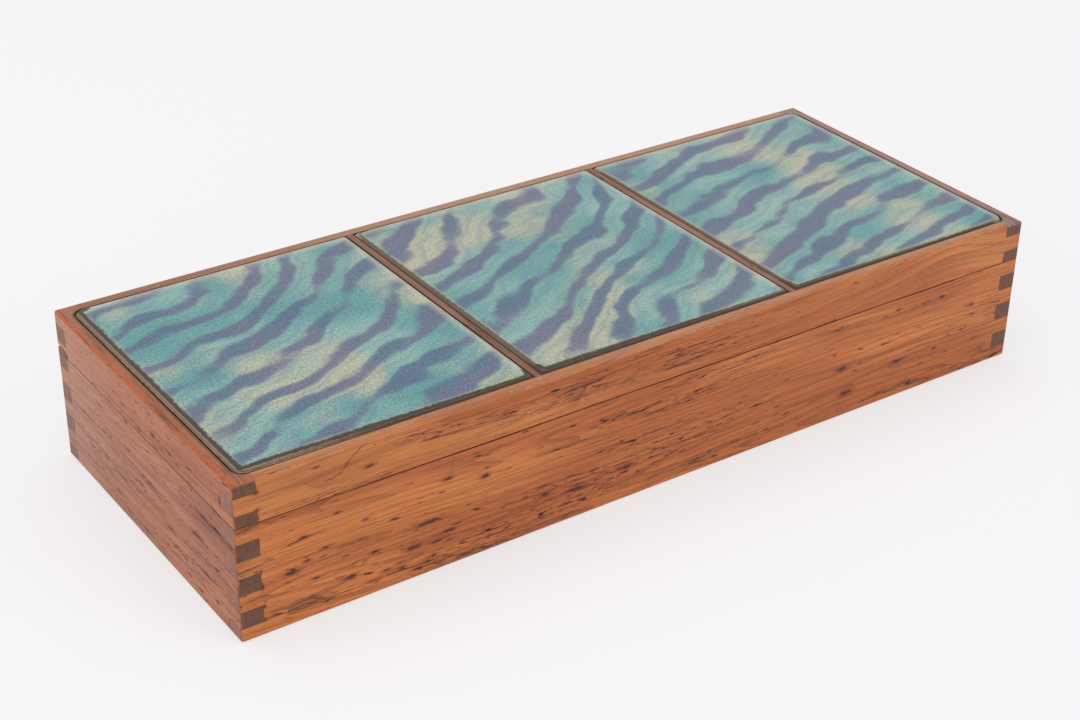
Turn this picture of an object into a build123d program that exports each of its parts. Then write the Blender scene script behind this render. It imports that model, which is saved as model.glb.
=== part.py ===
from build123d import *
import os

# Finger-jointed wooden box with a hinged lid, which carries three enamelled copper tiles.
# Frame: millimetres, origin at the middle of the base's underside, +X along the length,
# +Y to the back, where the hinges are, and +Z up.

# ---------------------------------------------------------------- driving dimensions, mm
# Carcass: one joined box of four walls, sawn apart into base and lid
length = 292.0                # outer length, along X
depth = 115.8                 # outer depth, along Y
height = 50.6                 # underside to the top of the wooden rim
lid_height = 13.5             # from the seam, where the lid rests on the base, to the rim
wall = 7.0                    # thickness of the four walls
saw_kerf = 2.0                # height that the saw took out of the joined carcass
first_finger = 4.5            # bottom finger of the front and back walls
finger = 5.5                  # every other finger, up to the rim

# Worn outer edges
upright_edge_radius = 0.8     # the four upright corners
bottom_edge_radius = 0.75     # all round the underside
rim_edge_radius = 0.7         # all round the top of the lid
seam_bevel = 0.25             # along both sides of the seam, front and ends

# Bottom board, held in a groove
bottom_board = 4.0            # thickness
groove_height = 3.5           # underside of the walls to the board
groove_depth = 3.0            # into each wall
groove_play = 0.3             # board edge to groove floor

# Rear notch along the back of the seam, where the hinge barrels lie
lip_height = 1.4              # rise of the base's back edge above the seam
lip_flat = 4.6                # back face to the start of the lip's inner slope
lip_depth = 6.6               # back face to the lip's inner step
lip_step = 0.4                # height of that inner step
lip_edge_radius = 0.9         # outer edge of the lip
rear_gap = 0.8                # lip to the lid above and in front of it
lid_rear_radius = 1.9         # lower back edge of the lid

# Recess in the top of the lid, with its board, dividers and tiles
end_rim = 3.6                 # width of the rim at the left and right ends
long_rim = 3.9                # width of the rim at the front and back
recess_radius = 4.0           # corners of the recess
lid_board = 4.0               # thickness of the board under the tiles
lid_board_play = 0.2          # board edge to recess wall
divider_places = (-46.3, 49.2)    # middles of the wooden strips between the three tiles, along X
divider_width = 2.2
divider_housing = 1.5         # depth of the slots in the board that hold them
copper_thickness = 1.0        # tile plate
enamel_thickness = 0.5        # coat on the plate
tile_proud = 0.5              # enamel above the wooden rim
tile_gap = 0.5                # tile edge to rim and dividers
tile_corner_radius = 0.8      # tile corners beside a divider
enamel_margin = 0.35          # bare copper round the enamel
copper_edge_radius = 0.35     # upper edge of the plate
enamel_edge_radius = 0.3      # upper edge of the coat

# Butt hinges, a pair in the rear notch
hinge_from_end = 45.0         # end of the box to the middle of the nearer hinge
hinge_length = 24.0           # along X
knuckle_count = 5             # the odd ones from the left belong to the lid
hinge_inset = 1.1             # back face to the pin's centre
hinge_height = 2.5            # seam to the pin's centre
pin_radius = 0.5
pin_clearance = 0.04          # running fit of pin and knuckle, on the radius
pin_head_radius = 0.85
pin_head = 0.4                # thickness of each head
leaf_thickness = 0.6
leaf_reach = 4.1              # pin's centre to the leaf's far edge
knuckle_gap = 0.2             # between knuckles, and from a knuckle to the other leaf
mortise_play = 0.3            # clearance round the barrel and at the leaf's edges
screw_radius = 0.45           # one screw beside each knuckle of its own leaf
screw_cover = 0.15            # wood between the lid's screws and its recess
screw_length = 5.0            # with its head
screw_head_radius = 0.7
screw_head = 0.4              # height of the countersunk head
screw_fit = 0.02              # screw to its hole, on the radius
slot_width = 0.3
slot_depth = 0.2

# ---------------------------------------------------------------- derived places
half_length = length / 2
half_depth = depth / 2
carcass_height = height + saw_kerf
seam_height = height - lid_height
barrel_radius = pin_radius + leaf_thickness
pin_y = half_depth - hinge_inset
pin_z = seam_height + hinge_height
tile_top = height + tile_proud
enamel_base = tile_top - enamel_thickness
tile_base = enamel_base - copper_thickness
lid_board_base = tile_base - lid_board
recess_half_x = half_length - end_rim
recess_half_y = half_depth - long_rim
bay_lefts = [-recess_half_x] + [place + divider_width / 2 for place in divider_places]
bay_rights = [place - divider_width / 2 for place in divider_places] + [recess_half_x]
hinge_places = (hinge_from_end - half_length, half_length - hinge_from_end)
screw_reach = long_rim - screw_cover - screw_radius - hinge_inset    # from the pin's centre
below, above = -1, 1          # side of the pin on which a leaf lies: the base's or the lid's
overrun = 20.0                # how far cutting solids run past what they cut
tolerance = 0.01              # for picking edges by their place


def block(x0, x1, y0, y1, z0, z1):
    """Box between two opposite corners."""
    return Pos((x0 + x1) / 2, (y0 + y1) / 2, (z0 + z1) / 2) * Box(x1 - x0, y1 - y0, z1 - z0)


def rounded_block(half_x, half_y, radius, z0, z1):
    """Upright block about the Z axis, with rounded corners."""
    return Pos(0, 0, z0) * extrude(RectangleRounded(2 * half_x, 2 * half_y, radius), z1 - z0)


# ---------------------------------------------------------------- carcass outline
def behind(inset):
    """Y of a line that lies a distance in from the back face."""
    return half_depth - inset


def lengthwise(profile):
    """Outline in Y and Z, drawn out over the whole length of the box."""
    points = [(0, y, z) for y, z in profile]
    return extrude(make_face(Polyline(*points, close=True)), half_length, both=True)


def long_edges(solid, y, z):
    """Edges that run along X at one place in Y and Z."""
    return solid.edges().filter_by(Axis.X).filter_by(
        lambda edge: abs(edge.center().Y - y) < tolerance and abs(edge.center().Z - z) < tolerance
    )


def level_edges(solid, z):
    """Edges all round a block at one height."""
    return solid.edges().filter_by_position(Axis.Z, z - tolerance, z + tolerance)


def seam_edges(solid):
    """Outer edges at the seam, along the front and the two ends."""
    return level_edges(solid, seam_height).filter_by(
        lambda edge: edge.center().Y < behind(lip_depth + rear_gap) - tolerance
    )


def base_outline():
    """The base as one block: its plan, its worn edges, and the lip along its back."""
    lip_top = seam_height + lip_height
    outline = lengthwise([
        (-half_depth, 0),
        (behind(0), 0),
        (behind(0), lip_top),
        (behind(lip_flat), lip_top),
        (behind(lip_depth), seam_height + lip_step),
        (behind(lip_depth), seam_height),
        (-half_depth, seam_height),
    ])
    outline = fillet(long_edges(outline, behind(0), lip_top), lip_edge_radius)
    outline &= rounded_block(half_length, half_depth, upright_edge_radius, 0, height)
    outline = fillet(level_edges(outline, 0), bottom_edge_radius)
    return chamfer(seam_edges(outline), seam_bevel)


def lid_outline():
    """The lid as one block, with its back edge raised clear of the base's lip."""
    rear_bottom = seam_height + lip_height + rear_gap
    outline = lengthwise([
        (-half_depth, seam_height),
        (behind(lip_depth + rear_gap), seam_height),
        (behind(lip_depth + rear_gap), seam_height + lip_step + rear_gap),
        (behind(lip_flat + rear_gap), rear_bottom),
        (behind(0), rear_bottom),
        (behind(0), height),
        (-half_depth, height),
    ])
    outline = fillet(long_edges(outline, behind(0), rear_bottom), lid_rear_radius)
    outline &= rounded_block(half_length, half_depth, upright_edge_radius, 0, height)
    outline = fillet(level_edges(outline, height), rim_edge_radius)
    return chamfer(seam_edges(outline), seam_bevel)


# ---------------------------------------------------------------- corner fingers
def finger_bands(owner, low, high):
    """Height bands of one pair of walls' corner fingers, within part of the uncut carcass.

    Owner 0 is the front and back walls, which have the bottom finger; owner 1 is the end walls.
    A band that reaches the end of that part runs on past it.
    """
    edges = [0, first_finger]
    while edges[-1] < carcass_height:
        edges.append(edges[-1] + finger)
    bands = []
    for bottom, top in list(zip(edges, edges[1:]))[owner::2]:
        if top > low and bottom < high:
            bottom = bottom if bottom > low else low - overrun
            top = top if top < high else high + overrun
            bands.append((bottom, top))
    return bands


def corner_fingers(owner, low, high, shift):
    """Solids that cover one pair of walls' fingers at all four corners."""
    fingers = Part()
    for bottom, top in finger_bands(owner, low, high):
        for end in (-1, 1):
            for side in (-1, 1):
                xs = sorted((end * (half_length - wall), end * (half_length + overrun)))
                ys = sorted((side * (half_depth - wall), side * (half_depth + overrun)))
                fingers += block(*xs, *ys, bottom - shift, top - shift)
    return fingers


def four_walls(half, outline, low, high, shift):
    """Front, back, left and right walls of one half of the carcass, with interlocked fingers."""
    end_fingers = corner_fingers(1, low, high, shift)
    long_fingers = corner_fingers(0, low, high, shift)
    all_x = (-half_length - overrun, half_length + overrun)
    all_y = (-half_depth - overrun, half_depth + overrun)
    all_z = (-overrun, height + overrun)
    front = block(*all_x, all_y[0], -half_depth + wall, *all_z)
    back = block(*all_x, half_depth - wall, all_y[1], *all_z)
    left = block(all_x[0], -half_length + wall, *all_y, *all_z)
    right = block(half_length - wall, all_x[1], *all_y, *all_z)
    return {
        half + "_front_wall": (outline & front) - end_fingers,
        half + "_back_wall": (outline & back) - end_fingers,
        half + "_left_wall": (outline & left) - long_fingers,
        half + "_right_wall": (outline & right) - long_fingers,
    }


# ---------------------------------------------------------------- base
def bottom_board_block(play):
    """The bottom board, or with no play the groove that it sits in."""
    half_x = half_length - wall + groove_depth - play
    half_y = half_depth - wall + groove_depth - play
    return block(-half_x, half_x, -half_y, half_y, groove_height, groove_height + bottom_board)


def base_parts():
    """Walls below the seam, grooved for the bottom board and cut for the hinges."""
    parts = four_walls("base", base_outline(), 0, seam_height, 0)
    for name in parts:
        parts[name] -= bottom_board_block(0)
    for x in hinge_places:
        parts["base_back_wall"] -= Pos(x, pin_y, pin_z) * leaf_mortise(below)
    parts["base_bottom_board"] = bottom_board_block(groove_play)
    return parts


# ---------------------------------------------------------------- lid
def recess_block(inset, z0, z1):
    """The recess in the lid's top, or a plate that lies in it with a gap all round."""
    half_x = recess_half_x - inset
    half_y = recess_half_y - inset
    return rounded_block(half_x, half_y, recess_radius - inset, z0, z1)


def divider(place):
    """Wooden strip between two tiles, housed in the lid board."""
    half_width = divider_width / 2
    foot = tile_base - divider_housing
    return block(place - half_width, place + half_width, -recess_half_y, recess_half_y, foot, height)


def lid_parts():
    """Walls above the seam with the recess in their top, its board and its dividers."""
    parts = four_walls("lid", lid_outline(), seam_height + saw_kerf, carcass_height, saw_kerf)
    for name in parts:
        parts[name] -= recess_block(0, lid_board_base, height + overrun)
    for x in hinge_places:
        parts["lid_back_wall"] -= Pos(x, pin_y, pin_z) * leaf_mortise(above)
    parts["lid_board"] = recess_block(lid_board_play, lid_board_base, tile_base)
    for number, place in enumerate(divider_places, 1):
        parts[f"lid_divider_{number}"] = divider(place)
        parts["lid_board"] -= divider(place)
    return parts


# ---------------------------------------------------------------- tiles
def tile_layer(bay_left, bay_right, inset, z0, z1, edge_radius):
    """One layer of a tile. Its corners follow the recess, and are tighter beside a divider."""
    size_x = bay_right - bay_left - 2 * (tile_gap + inset)
    size_y = 2 * (recess_half_y - tile_gap - inset)
    recess_corner = recess_radius - tile_gap - inset
    outline = Rectangle(size_x, size_y)
    left = outline.vertices().group_by(Axis.X)[0]
    outline = fillet(left, recess_corner if bay_left == -recess_half_x else tile_corner_radius)
    right = outline.vertices().group_by(Axis.X)[-1]
    outline = fillet(right, recess_corner if bay_right == recess_half_x else tile_corner_radius)
    layer = Pos((bay_left + bay_right) / 2, 0, z0) * extrude(outline, z1 - z0)
    return fillet(level_edges(layer, z1), edge_radius)


def tile_parts():
    """Copper plates, each with its coat of enamel, numbered from the left."""
    parts = {}
    for number, bay in enumerate(zip(bay_lefts, bay_rights), 1):
        copper = tile_layer(*bay, 0, tile_base, enamel_base, copper_edge_radius)
        enamel = tile_layer(*bay, enamel_margin, enamel_base, tile_top, enamel_edge_radius)
        parts[f"tile_{number}_copper"] = copper
        parts[f"tile_{number}_enamel"] = enamel
    return parts


# ---------------------------------------------------------------- hinges, about the pin's centre
def rod_along_x(x0, x1, radius):
    """Round bar along X between two places."""
    return Pos((x0 + x1) / 2, 0, 0) * Rot(0, 90, 0) * Cylinder(radius, x1 - x0)


def knuckle_spans(side):
    """Ends along X of one leaf's knuckles, which take turns with the other leaf's."""
    pitch = hinge_length / knuckle_count
    first = 0 if side == above else 1
    starts = [i * pitch - hinge_length / 2 for i in range(first, knuckle_count, 2)]
    return [(start + knuckle_gap / 2, start + pitch - knuckle_gap / 2) for start in starts]


def screw(fit):
    """Countersunk screw, head up at the origin, or with a fit the hole that it goes in."""
    shank_top = -screw_head
    shank = Pos(0, 0, (shank_top - screw_length) / 2)
    shape = shank * Cylinder(screw_radius + fit, screw_length + shank_top)
    head = Cone(screw_radius + fit, screw_head_radius + fit, screw_head)
    shape += Pos(0, 0, shank_top / 2) * head
    if not fit:
        shape -= Box(slot_width, 2 * screw_head_radius, 2 * slot_depth)
    return shape


def screws(side, fit):
    """One leaf's screws, each in line with a knuckle, or their holes."""
    row = Part()
    for x0, x1 in knuckle_spans(side):
        row += Pos((x0 + x1) / 2, -screw_reach, -pin_radius) * screw(fit)
    return mirror(row, about=Plane.XY) if side == above else row


def hinge_leaf(side):
    """Leaf with its knuckles round the pin."""
    faces = sorted((side * pin_radius, side * barrel_radius))
    clear_of_barrel = -barrel_radius - knuckle_gap
    leaf = block(-hinge_length / 2, hinge_length / 2, -leaf_reach, clear_of_barrel, *faces)
    for x0, x1 in knuckle_spans(side):
        leaf += block(x0, x1, -leaf_reach, 0, *faces) + rod_along_x(x0, x1, barrel_radius)
    leaf -= rod_along_x(-hinge_length, hinge_length, pin_radius + pin_clearance)
    return leaf - screws(side, screw_fit)


def hinge_pin():
    """Pin with a flat head at each end."""
    half_pin = hinge_length / 2
    pin = rod_along_x(-half_pin, half_pin, pin_radius)
    pin += rod_along_x(-half_pin - pin_head, -half_pin, pin_head_radius)
    return pin + rod_along_x(half_pin, half_pin + pin_head, pin_head_radius)


def leaf_mortise(side):
    """Wood taken out of a back wall for one leaf, the barrel and the screws."""
    half_pocket = hinge_length / 2 + pin_head + mortise_play
    leaf_z = sorted((side * barrel_radius, -side * overrun))
    barrel_z = sorted((side * (barrel_radius + mortise_play), -side * overrun))
    barrel_front = -barrel_radius - mortise_play
    pocket = block(-half_pocket, half_pocket, -leaf_reach - mortise_play, overrun, *leaf_z)
    pocket += block(-half_pocket, half_pocket, barrel_front, overrun, *barrel_z)
    return pocket + screws(side, screw_fit)


def hinge_parts():
    """Leaves and pins of both hinges, and each body's screws."""
    parts = {}
    for name, x in zip(("left", "right"), hinge_places):
        place = Pos(x, pin_y, pin_z)
        parts[f"base_hinge_leaf_{name}"] = place * hinge_leaf(below)
        parts[f"lid_hinge_leaf_{name}"] = place * hinge_leaf(above)
        parts[f"hinge_pin_{name}"] = place * hinge_pin()
    for body, side in (("base", below), ("lid", above)):
        rows = [Pos(x, pin_y, pin_z) * screws(side, 0) for x in hinge_places]
        parts[f"{body}_hinge_screws"] = Part() + rows
    return parts


# ---------------------------------------------------------------- one file per piece
os.makedirs("parts", exist_ok=True)
for node, shape in {**base_parts(), **lid_parts(), **tile_parts(), **hinge_parts()}.items():
    export_step(shape, f"parts/{node}.step")
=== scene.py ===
import math

import bmesh
import bpy
from mathutils import Euler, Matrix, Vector


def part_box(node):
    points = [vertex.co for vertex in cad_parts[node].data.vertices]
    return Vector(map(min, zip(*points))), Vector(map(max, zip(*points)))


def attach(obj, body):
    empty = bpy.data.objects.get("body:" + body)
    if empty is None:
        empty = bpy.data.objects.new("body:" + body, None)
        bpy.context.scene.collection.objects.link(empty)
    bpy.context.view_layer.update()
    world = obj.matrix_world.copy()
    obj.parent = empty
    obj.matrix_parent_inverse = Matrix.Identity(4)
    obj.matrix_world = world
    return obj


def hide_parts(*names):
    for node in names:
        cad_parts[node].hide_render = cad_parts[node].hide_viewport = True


MM = 0.001

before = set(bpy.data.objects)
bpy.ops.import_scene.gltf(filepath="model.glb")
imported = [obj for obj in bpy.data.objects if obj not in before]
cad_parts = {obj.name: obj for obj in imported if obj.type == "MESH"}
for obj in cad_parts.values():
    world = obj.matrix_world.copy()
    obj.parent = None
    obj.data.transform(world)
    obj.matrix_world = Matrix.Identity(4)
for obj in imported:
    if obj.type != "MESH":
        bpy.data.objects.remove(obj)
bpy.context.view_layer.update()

# ---------------------------------------------------------------- places, taken from the frame, mm


def box_mm(*nodes):
    """Lowest and highest corners of some CAD nodes together, in millimetres."""
    lows, highs = zip(*[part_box(node) for node in nodes])
    low = [min(corner[i] for corner in lows) / MM for i in range(3)]
    high = [max(corner[i] for corner in highs) / MM for i in range(3)]
    return low, high


OUTER_WALLS = ("base_front_wall", "base_back_wall", "lid_front_wall", "lid_left_wall")
HALF_LENGTH, HALF_DEPTH, RIM = box_mm(*OUTER_WALLS)[1]
BOARD_PLAY = 0.2              # lid board to the recess that it lies in
RECESS_LOW, RECESS_HIGH = box_mm("lid_board")       # widened below to the inner edge of the lid's rim
RECESS_LOW = [place - BOARD_PLAY for place in RECESS_LOW]
RECESS_HIGH = [place + BOARD_PLAY for place in RECESS_HIGH]
RECESS_CORNER = 4.0           # its corner radius
SEAM = box_mm("base_front_wall")[1][2]
WALL = box_mm("base_left_wall")[1][0] + HALF_LENGTH
INNER_X, INNER_Y = HALF_LENGTH - WALL, HALF_DEPTH - WALL

# Corner fingers, cut before the lid was sawn off: height of the lowest and of the others, and the kerf, mm
FIRST_FINGER, FINGER, KERF = 4.5, 5.5, 2.0


# ---------------------------------------------------------------- colours
def srgb(red, green, blue):
    """Linear colour of an 8-bit display colour."""
    def linear(value):
        value /= 255
        return value / 12.92 if value <= 0.04045 else ((value + 0.055) / 1.055) ** 2.4
    return (linear(red), linear(green), linear(blue), 1.0)


# ---------------------------------------------------------------- shader formulas
class Graph:
    """Writes a material's nodes as formulas, in which output sockets and plain values mix."""

    def __init__(self, name):
        self.material = bpy.data.materials.new(name)
        self.material.use_nodes = True
        self.tree = self.material.node_tree
        self.tree.nodes.clear()
        self.shader = self.tree.nodes.new("ShaderNodeBsdfPrincipled")
        self.output = self.tree.nodes.new("ShaderNodeOutputMaterial")
        self.tree.links.new(self.shader.outputs["BSDF"], self.output.inputs["Surface"])
        self.coordinates = self.tree.nodes.new("ShaderNodeTexCoord")
        self.position = self.scale_vector(self.coordinates.outputs["Object"], (1 / MM, 1 / MM, 1 / MM))
        self.normal = self.coordinates.outputs["Normal"]

    def put(self, socket, value):
        """Links a socket, or sets its value."""
        if isinstance(value, bpy.types.NodeSocket):
            self.tree.links.new(value, socket)
        else:
            socket.default_value = value

    def set(self, **inputs):
        """Values or sockets for the shader's own inputs."""
        for name, value in inputs.items():
            self.put(self.shader.inputs[name.replace("_", " ")], value)

    def math(self, operation, *values, clamp=False):
        node = self.tree.nodes.new("ShaderNodeMath")
        node.operation, node.use_clamp = operation, clamp
        for socket, value in zip(node.inputs, values):
            self.put(socket, value)
        return node.outputs[0]

    def add(self, a, b):
        return self.math("ADD", a, b)

    def sub(self, a, b):
        return self.math("SUBTRACT", a, b)

    def mul(self, a, b):
        return self.math("MULTIPLY", a, b)

    def both(self, *masks):
        """Product of any number of masks."""
        result = masks[0]
        for mask in masks[1:]:
            result = self.mul(result, mask)
        return result

    def either(self, *masks):
        """Highest of any number of masks."""
        result = masks[0]
        for mask in masks[1:]:
            result = self.math("MAXIMUM", result, mask)
        return result

    def inverse(self, mask):
        return self.sub(1.0, mask)

    def split(self, vector):
        node = self.tree.nodes.new("ShaderNodeSeparateXYZ")
        self.put(node.inputs[0], vector)
        return node.outputs[0], node.outputs[1], node.outputs[2]

    def join(self, x, y, z):
        node = self.tree.nodes.new("ShaderNodeCombineXYZ")
        for socket, value in zip(node.inputs, (x, y, z)):
            self.put(socket, value)
        return node.outputs[0]

    def vector(self, operation, a, b):
        node = self.tree.nodes.new("ShaderNodeVectorMath")
        node.operation = operation
        self.put(node.inputs[0], a)
        self.put(node.inputs[1], b)
        return node.outputs["Value"] if operation in ("LENGTH", "DOT_PRODUCT") else node.outputs["Vector"]

    def multiply_add(self, vector, factors, offset):
        node = self.tree.nodes.new("ShaderNodeVectorMath")
        node.operation = "MULTIPLY_ADD"
        for socket, value in zip(node.inputs, (vector, factors, offset)):
            self.put(socket, value)
        return node.outputs["Vector"]

    def scale_vector(self, vector, factors):
        return self.vector("MULTIPLY", vector, factors)

    def step(self, value, low, high):
        """0 below low, 1 above high, smooth between. With low above high it falls instead."""
        node = self.tree.nodes.new("ShaderNodeMapRange")
        node.interpolation_type = "SMOOTHSTEP"
        self.put(node.inputs["Value"], value)
        self.put(node.inputs["From Min"], low)
        self.put(node.inputs["From Max"], high)
        return node.outputs["Result"]

    def span(self, value, low, high):
        """Straight-line change of a 0 to 1 value to the range low to high."""
        node = self.tree.nodes.new("ShaderNodeMapRange")
        self.put(node.inputs["Value"], value)
        self.put(node.inputs["To Min"], low)
        self.put(node.inputs["To Max"], high)
        return node.outputs["Result"]

    def mix(self, factor, a, b):
        """Colour a, going over to colour b."""
        node = self.tree.nodes.new("ShaderNodeMix")
        node.data_type = "RGBA"
        self.put(node.inputs["Factor"], factor)
        self.put(node.inputs[6], a)
        self.put(node.inputs[7], b)
        return node.outputs[2]

    def shade(self, colour, factor):
        """Colour times a brightness."""
        node = self.tree.nodes.new("ShaderNodeVectorMath")
        node.operation = "SCALE"
        self.put(node.inputs[0], colour if isinstance(colour, bpy.types.NodeSocket) else colour[:3])
        self.put(node.inputs["Scale"], factor)
        return node.outputs["Vector"]

    def noise(self, vector, factors, detail=2.0, roughness=0.5, colour=False):
        """Noise about 0.5, with features of about 1 / factor millimetres each way."""
        node = self.tree.nodes.new("ShaderNodeTexNoise")
        self.put(node.inputs["Vector"], self.scale_vector(vector, factors))
        node.inputs["Scale"].default_value = 1.0
        node.inputs["Detail"].default_value = detail
        node.inputs["Roughness"].default_value = roughness
        return node.outputs["Color" if colour else "Fac"]

    def cells(self, vector, factors):
        """Distance to the nearest cell point, and that cell's random number."""
        node = self.tree.nodes.new("ShaderNodeTexVoronoi")
        self.put(node.inputs["Vector"], self.scale_vector(vector, factors))
        node.inputs["Scale"].default_value = 1.0
        return node.outputs["Distance"], self.split(node.outputs["Color"])[0]

    def hump(self, value, middle, width):
        """1 at the middle, and a half one width away from it."""
        away = self.mul(self.sub(value, middle), 1 / width)
        return self.math("DIVIDE", 1.0, self.add(1.0, self.mul(away, away)))

    def bump(self, height, distance_mm):
        """Relief of the surface, where a height of 1 stands for the distance."""
        node = self.tree.nodes.new("ShaderNodeBump")
        node.inputs["Distance"].default_value = distance_mm * MM
        self.put(node.inputs["Height"], height)
        self.put(self.shader.inputs["Normal"], node.outputs["Normal"])


# ---------------------------------------------------------------- wood
ALONG_X, ALONG_Y = "X", "Y"
DARK_END, GREY_END, BACK_END = srgb(108, 70, 53), srgb(148, 94, 74), srgb(132, 86, 66)
PORE_BROWN = srgb(72, 32, 26)
FLECK_BLACK = srgb(44, 24, 27)
CREVICE = srgb(44, 14, 6)
# Colour of the painted shade in the seam between lid and base
SEAM_SHADE_RED = srgb(56, 8, 1)
RING_BROWN, PIT_DARK = srgb(112, 56, 34), srgb(62, 34, 36)
SMUDGE_RED, HALO_RED, RESIN_HALO = srgb(146, 66, 40), srgb(120, 46, 32), srgb(130, 52, 34)
# A dark vein, and the pale pink of a painted sheen on the back half of the end walls
VEIN_BROWN, SHEEN_PINK = srgb(96, 46, 34), srgb(200, 160, 138)
# Worn edges, and the pale colour of the painted light on the board's top
WORN_ARRIS, BOARD_PAINTED_LIGHT = srgb(206, 134, 78), srgb(224, 196, 170)
PLANK_STEP = (137.0, 41.0, 23.0)       # from one plank to the next in the noise, mm
WARP = 9.0                             # span of the grain's sideways wander, mm
RINGS = 17.0                           # growth rings over the ring noise's range
SKIN_START, SKIN_END = 0.5, 1.5        # depths at which a face's own marks begin to fade and end, mm
HALFWAY = 10.0                         # half width of the blend from the front half to the back half, mm
FAR_OFF = 9.0                          # beyond every mark, in half sizes of a mark
SEAM_FAINT, SEAM_DARK = 128.0, 84.0    # from the box's middle: where its seam is faintest and darkest, mm
VEIN_SWAY = 11.0                       # span of the vein's swing about a straight line, mm
VEIN_TAPER = 1.0                       # half of the length over which each end of the vein fades, mm
# Distances from a line at which it has faded and at which it is full, mm
LEVEL_GLUE, UPRIGHT_GLUE, VEIN_LINE = (0.16, 0.04), (0.30, 0.12), (0.85, 0.10)


def grain_place(g, along, seed, arches):
    """Place in the plank, mm: along the grain, through it and up, bent where the grain arches."""
    x, y, z = g.split(g.position)
    lengthwise, through = (x, y) if along == ALONG_X else (y, x)
    for middle, width, height in arches:
        z = g.sub(z, g.mul(g.hump(lengthwise, middle, width), height))
    return g.vector("ADD", g.join(lengthwise, through, z), tuple(seed * step for step in PLANK_STEP))


def outer_face(g, outward, half):
    """1 on the front or left face, going to 0 just inside it."""
    return g.step(outward, -half + SKIN_END, -half + SKIN_START)


def back_half(g):
    """0 on the box's front half, 1 on its back half."""
    return g.step(g.split(g.position)[1], -HALFWAY, HALFWAY)


def depth_inside(g, low, high, corner):
    """Millimetres in from a rectangle's outline, seen from above. It has round corners."""
    x, y, _ = g.split(g.position)
    past = []
    for value, lowest, highest in ((x, low[0], high[0]), (y, low[1], high[1])):
        centre, half = (lowest + highest) / 2, (highest - lowest) / 2 - corner
        past.append(g.sub(g.math("ABSOLUTE", g.sub(value, centre)), half))
    corner_x, corner_y = [g.math("MAXIMUM", value, 0.0) for value in past]
    outside = g.vector("LENGTH", g.join(corner_x, corner_y, 0.0), (0, 0, 0))
    inside = g.math("MINIMUM", g.either(*past), 0.0)
    return g.sub(corner, g.add(outside, inside))


def end_grain(g, along):
    """1 on faces that the grain runs into."""
    part = g.split(g.normal)[0 if along == ALONG_X else 1]
    return g.step(g.math("ABSOLUTE", part), 0.55, 0.8)


def rounded_arris(g):
    """1 on the rounded edges, 0 on flat faces."""
    nx, ny, nz = [g.math("ABSOLUTE", part) for part in g.split(g.normal)]
    return g.step(g.either(nx, ny, nz), 0.998, 0.95)


def finger_lines(g, along, shift):
    """Thin glue lines round the corner fingers."""
    x, y, z = g.split(g.position)
    past_x = g.sub(g.math("ABSOLUTE", x), INNER_X)
    past_y = g.sub(g.math("ABSOLUTE", y), INNER_Y)
    turn = g.math("DIVIDE", g.sub(g.add(z, shift), FIRST_FINGER), FINGER)
    off_level = g.mul(g.math("PINGPONG", turn, 0.5), FINGER)
    corner = g.both(g.step(past_x, -0.1, 0.05), g.step(past_y, -0.1, 0.05))
    levels = g.both(corner, g.step(off_level, *LEVEL_GLUE))
    ends_own = g.math("LESS_THAN", g.math("FLOORED_MODULO", turn, 2.0), 1.0)
    if along == ALONG_X:
        stops = g.both(ends_own, g.step(g.math("ABSOLUTE", past_x), *UPRIGHT_GLUE))
    else:
        stops = g.both(g.inverse(ends_own), g.step(g.math("ABSOLUTE", past_y), *UPRIGHT_GLUE))
    return g.either(levels, stops)


def seam_shadow(g, uneven, narrowest, widest):
    """Painted shade in the crack between lid and base on upright faces, of uneven width, fainter at the
    box's ends.
    """
    x, _, z = g.split(g.position)
    level = g.math("ABSOLUTE", g.split(g.normal)[2])
    off_seam = g.math("ABSOLUTE", g.sub(z, SEAM))
    reach = g.span(g.step(uneven, 0.3, 0.7), narrowest, widest)
    strength = g.span(g.step(g.math("ABSOLUTE", x), SEAM_FAINT, SEAM_DARK), 0.58, 1.0)
    crack = g.both(g.step(off_seam, reach, g.mul(reach, 0.5)), g.step(level, 0.96, 0.85))
    return g.mul(crack, strength)


def marks(g, spots, along, ragged):
    """Dark resin marks at named places on the front or left face, and a redder halo round them."""
    x, y, z = g.split(g.position)
    lengthwise, outward, half = (x, y, HALF_DEPTH) if along == ALONG_X else (y, x, HALF_LENGTH)
    place = g.join(lengthwise, z, 0.0)
    nearest = FAR_OFF
    for middle, up, length, height in spots:
        shrink = (2 / length, 2 / height, 0.0)
        local = g.multiply_add(place, shrink, (-middle * shrink[0], -up * shrink[1], 0.0))
        nearest = g.math("MINIMUM", nearest, g.vector("LENGTH", local, (0, 0, 0)))
    face = outer_face(g, outward, half)
    rough = g.add(nearest, ragged)
    return g.both(face, g.step(rough, 1.0, 0.5)), g.both(face, g.step(rough, 2.1, 0.9))


def vein(g, start, end, uneven):
    """A thin crooked dark vein that crosses the grain of the front face between two places."""
    x, y, z = g.split(g.position)
    slope = (end[1] - start[1]) / (end[0] - start[0])
    line = g.add(g.mul(g.sub(x, start[0]), slope), start[1])
    off = g.add(g.sub(z, line), g.mul(g.sub(uneven, 0.5), VEIN_SWAY))
    length = g.both(g.step(x, start[0] - VEIN_TAPER, start[0] + VEIN_TAPER),
                    g.step(x, end[0] + VEIN_TAPER, end[0] - VEIN_TAPER))
    return g.both(g.step(g.math("ABSOLUTE", off), *VEIN_LINE), length, outer_face(g, y, HALF_DEPTH))


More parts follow.
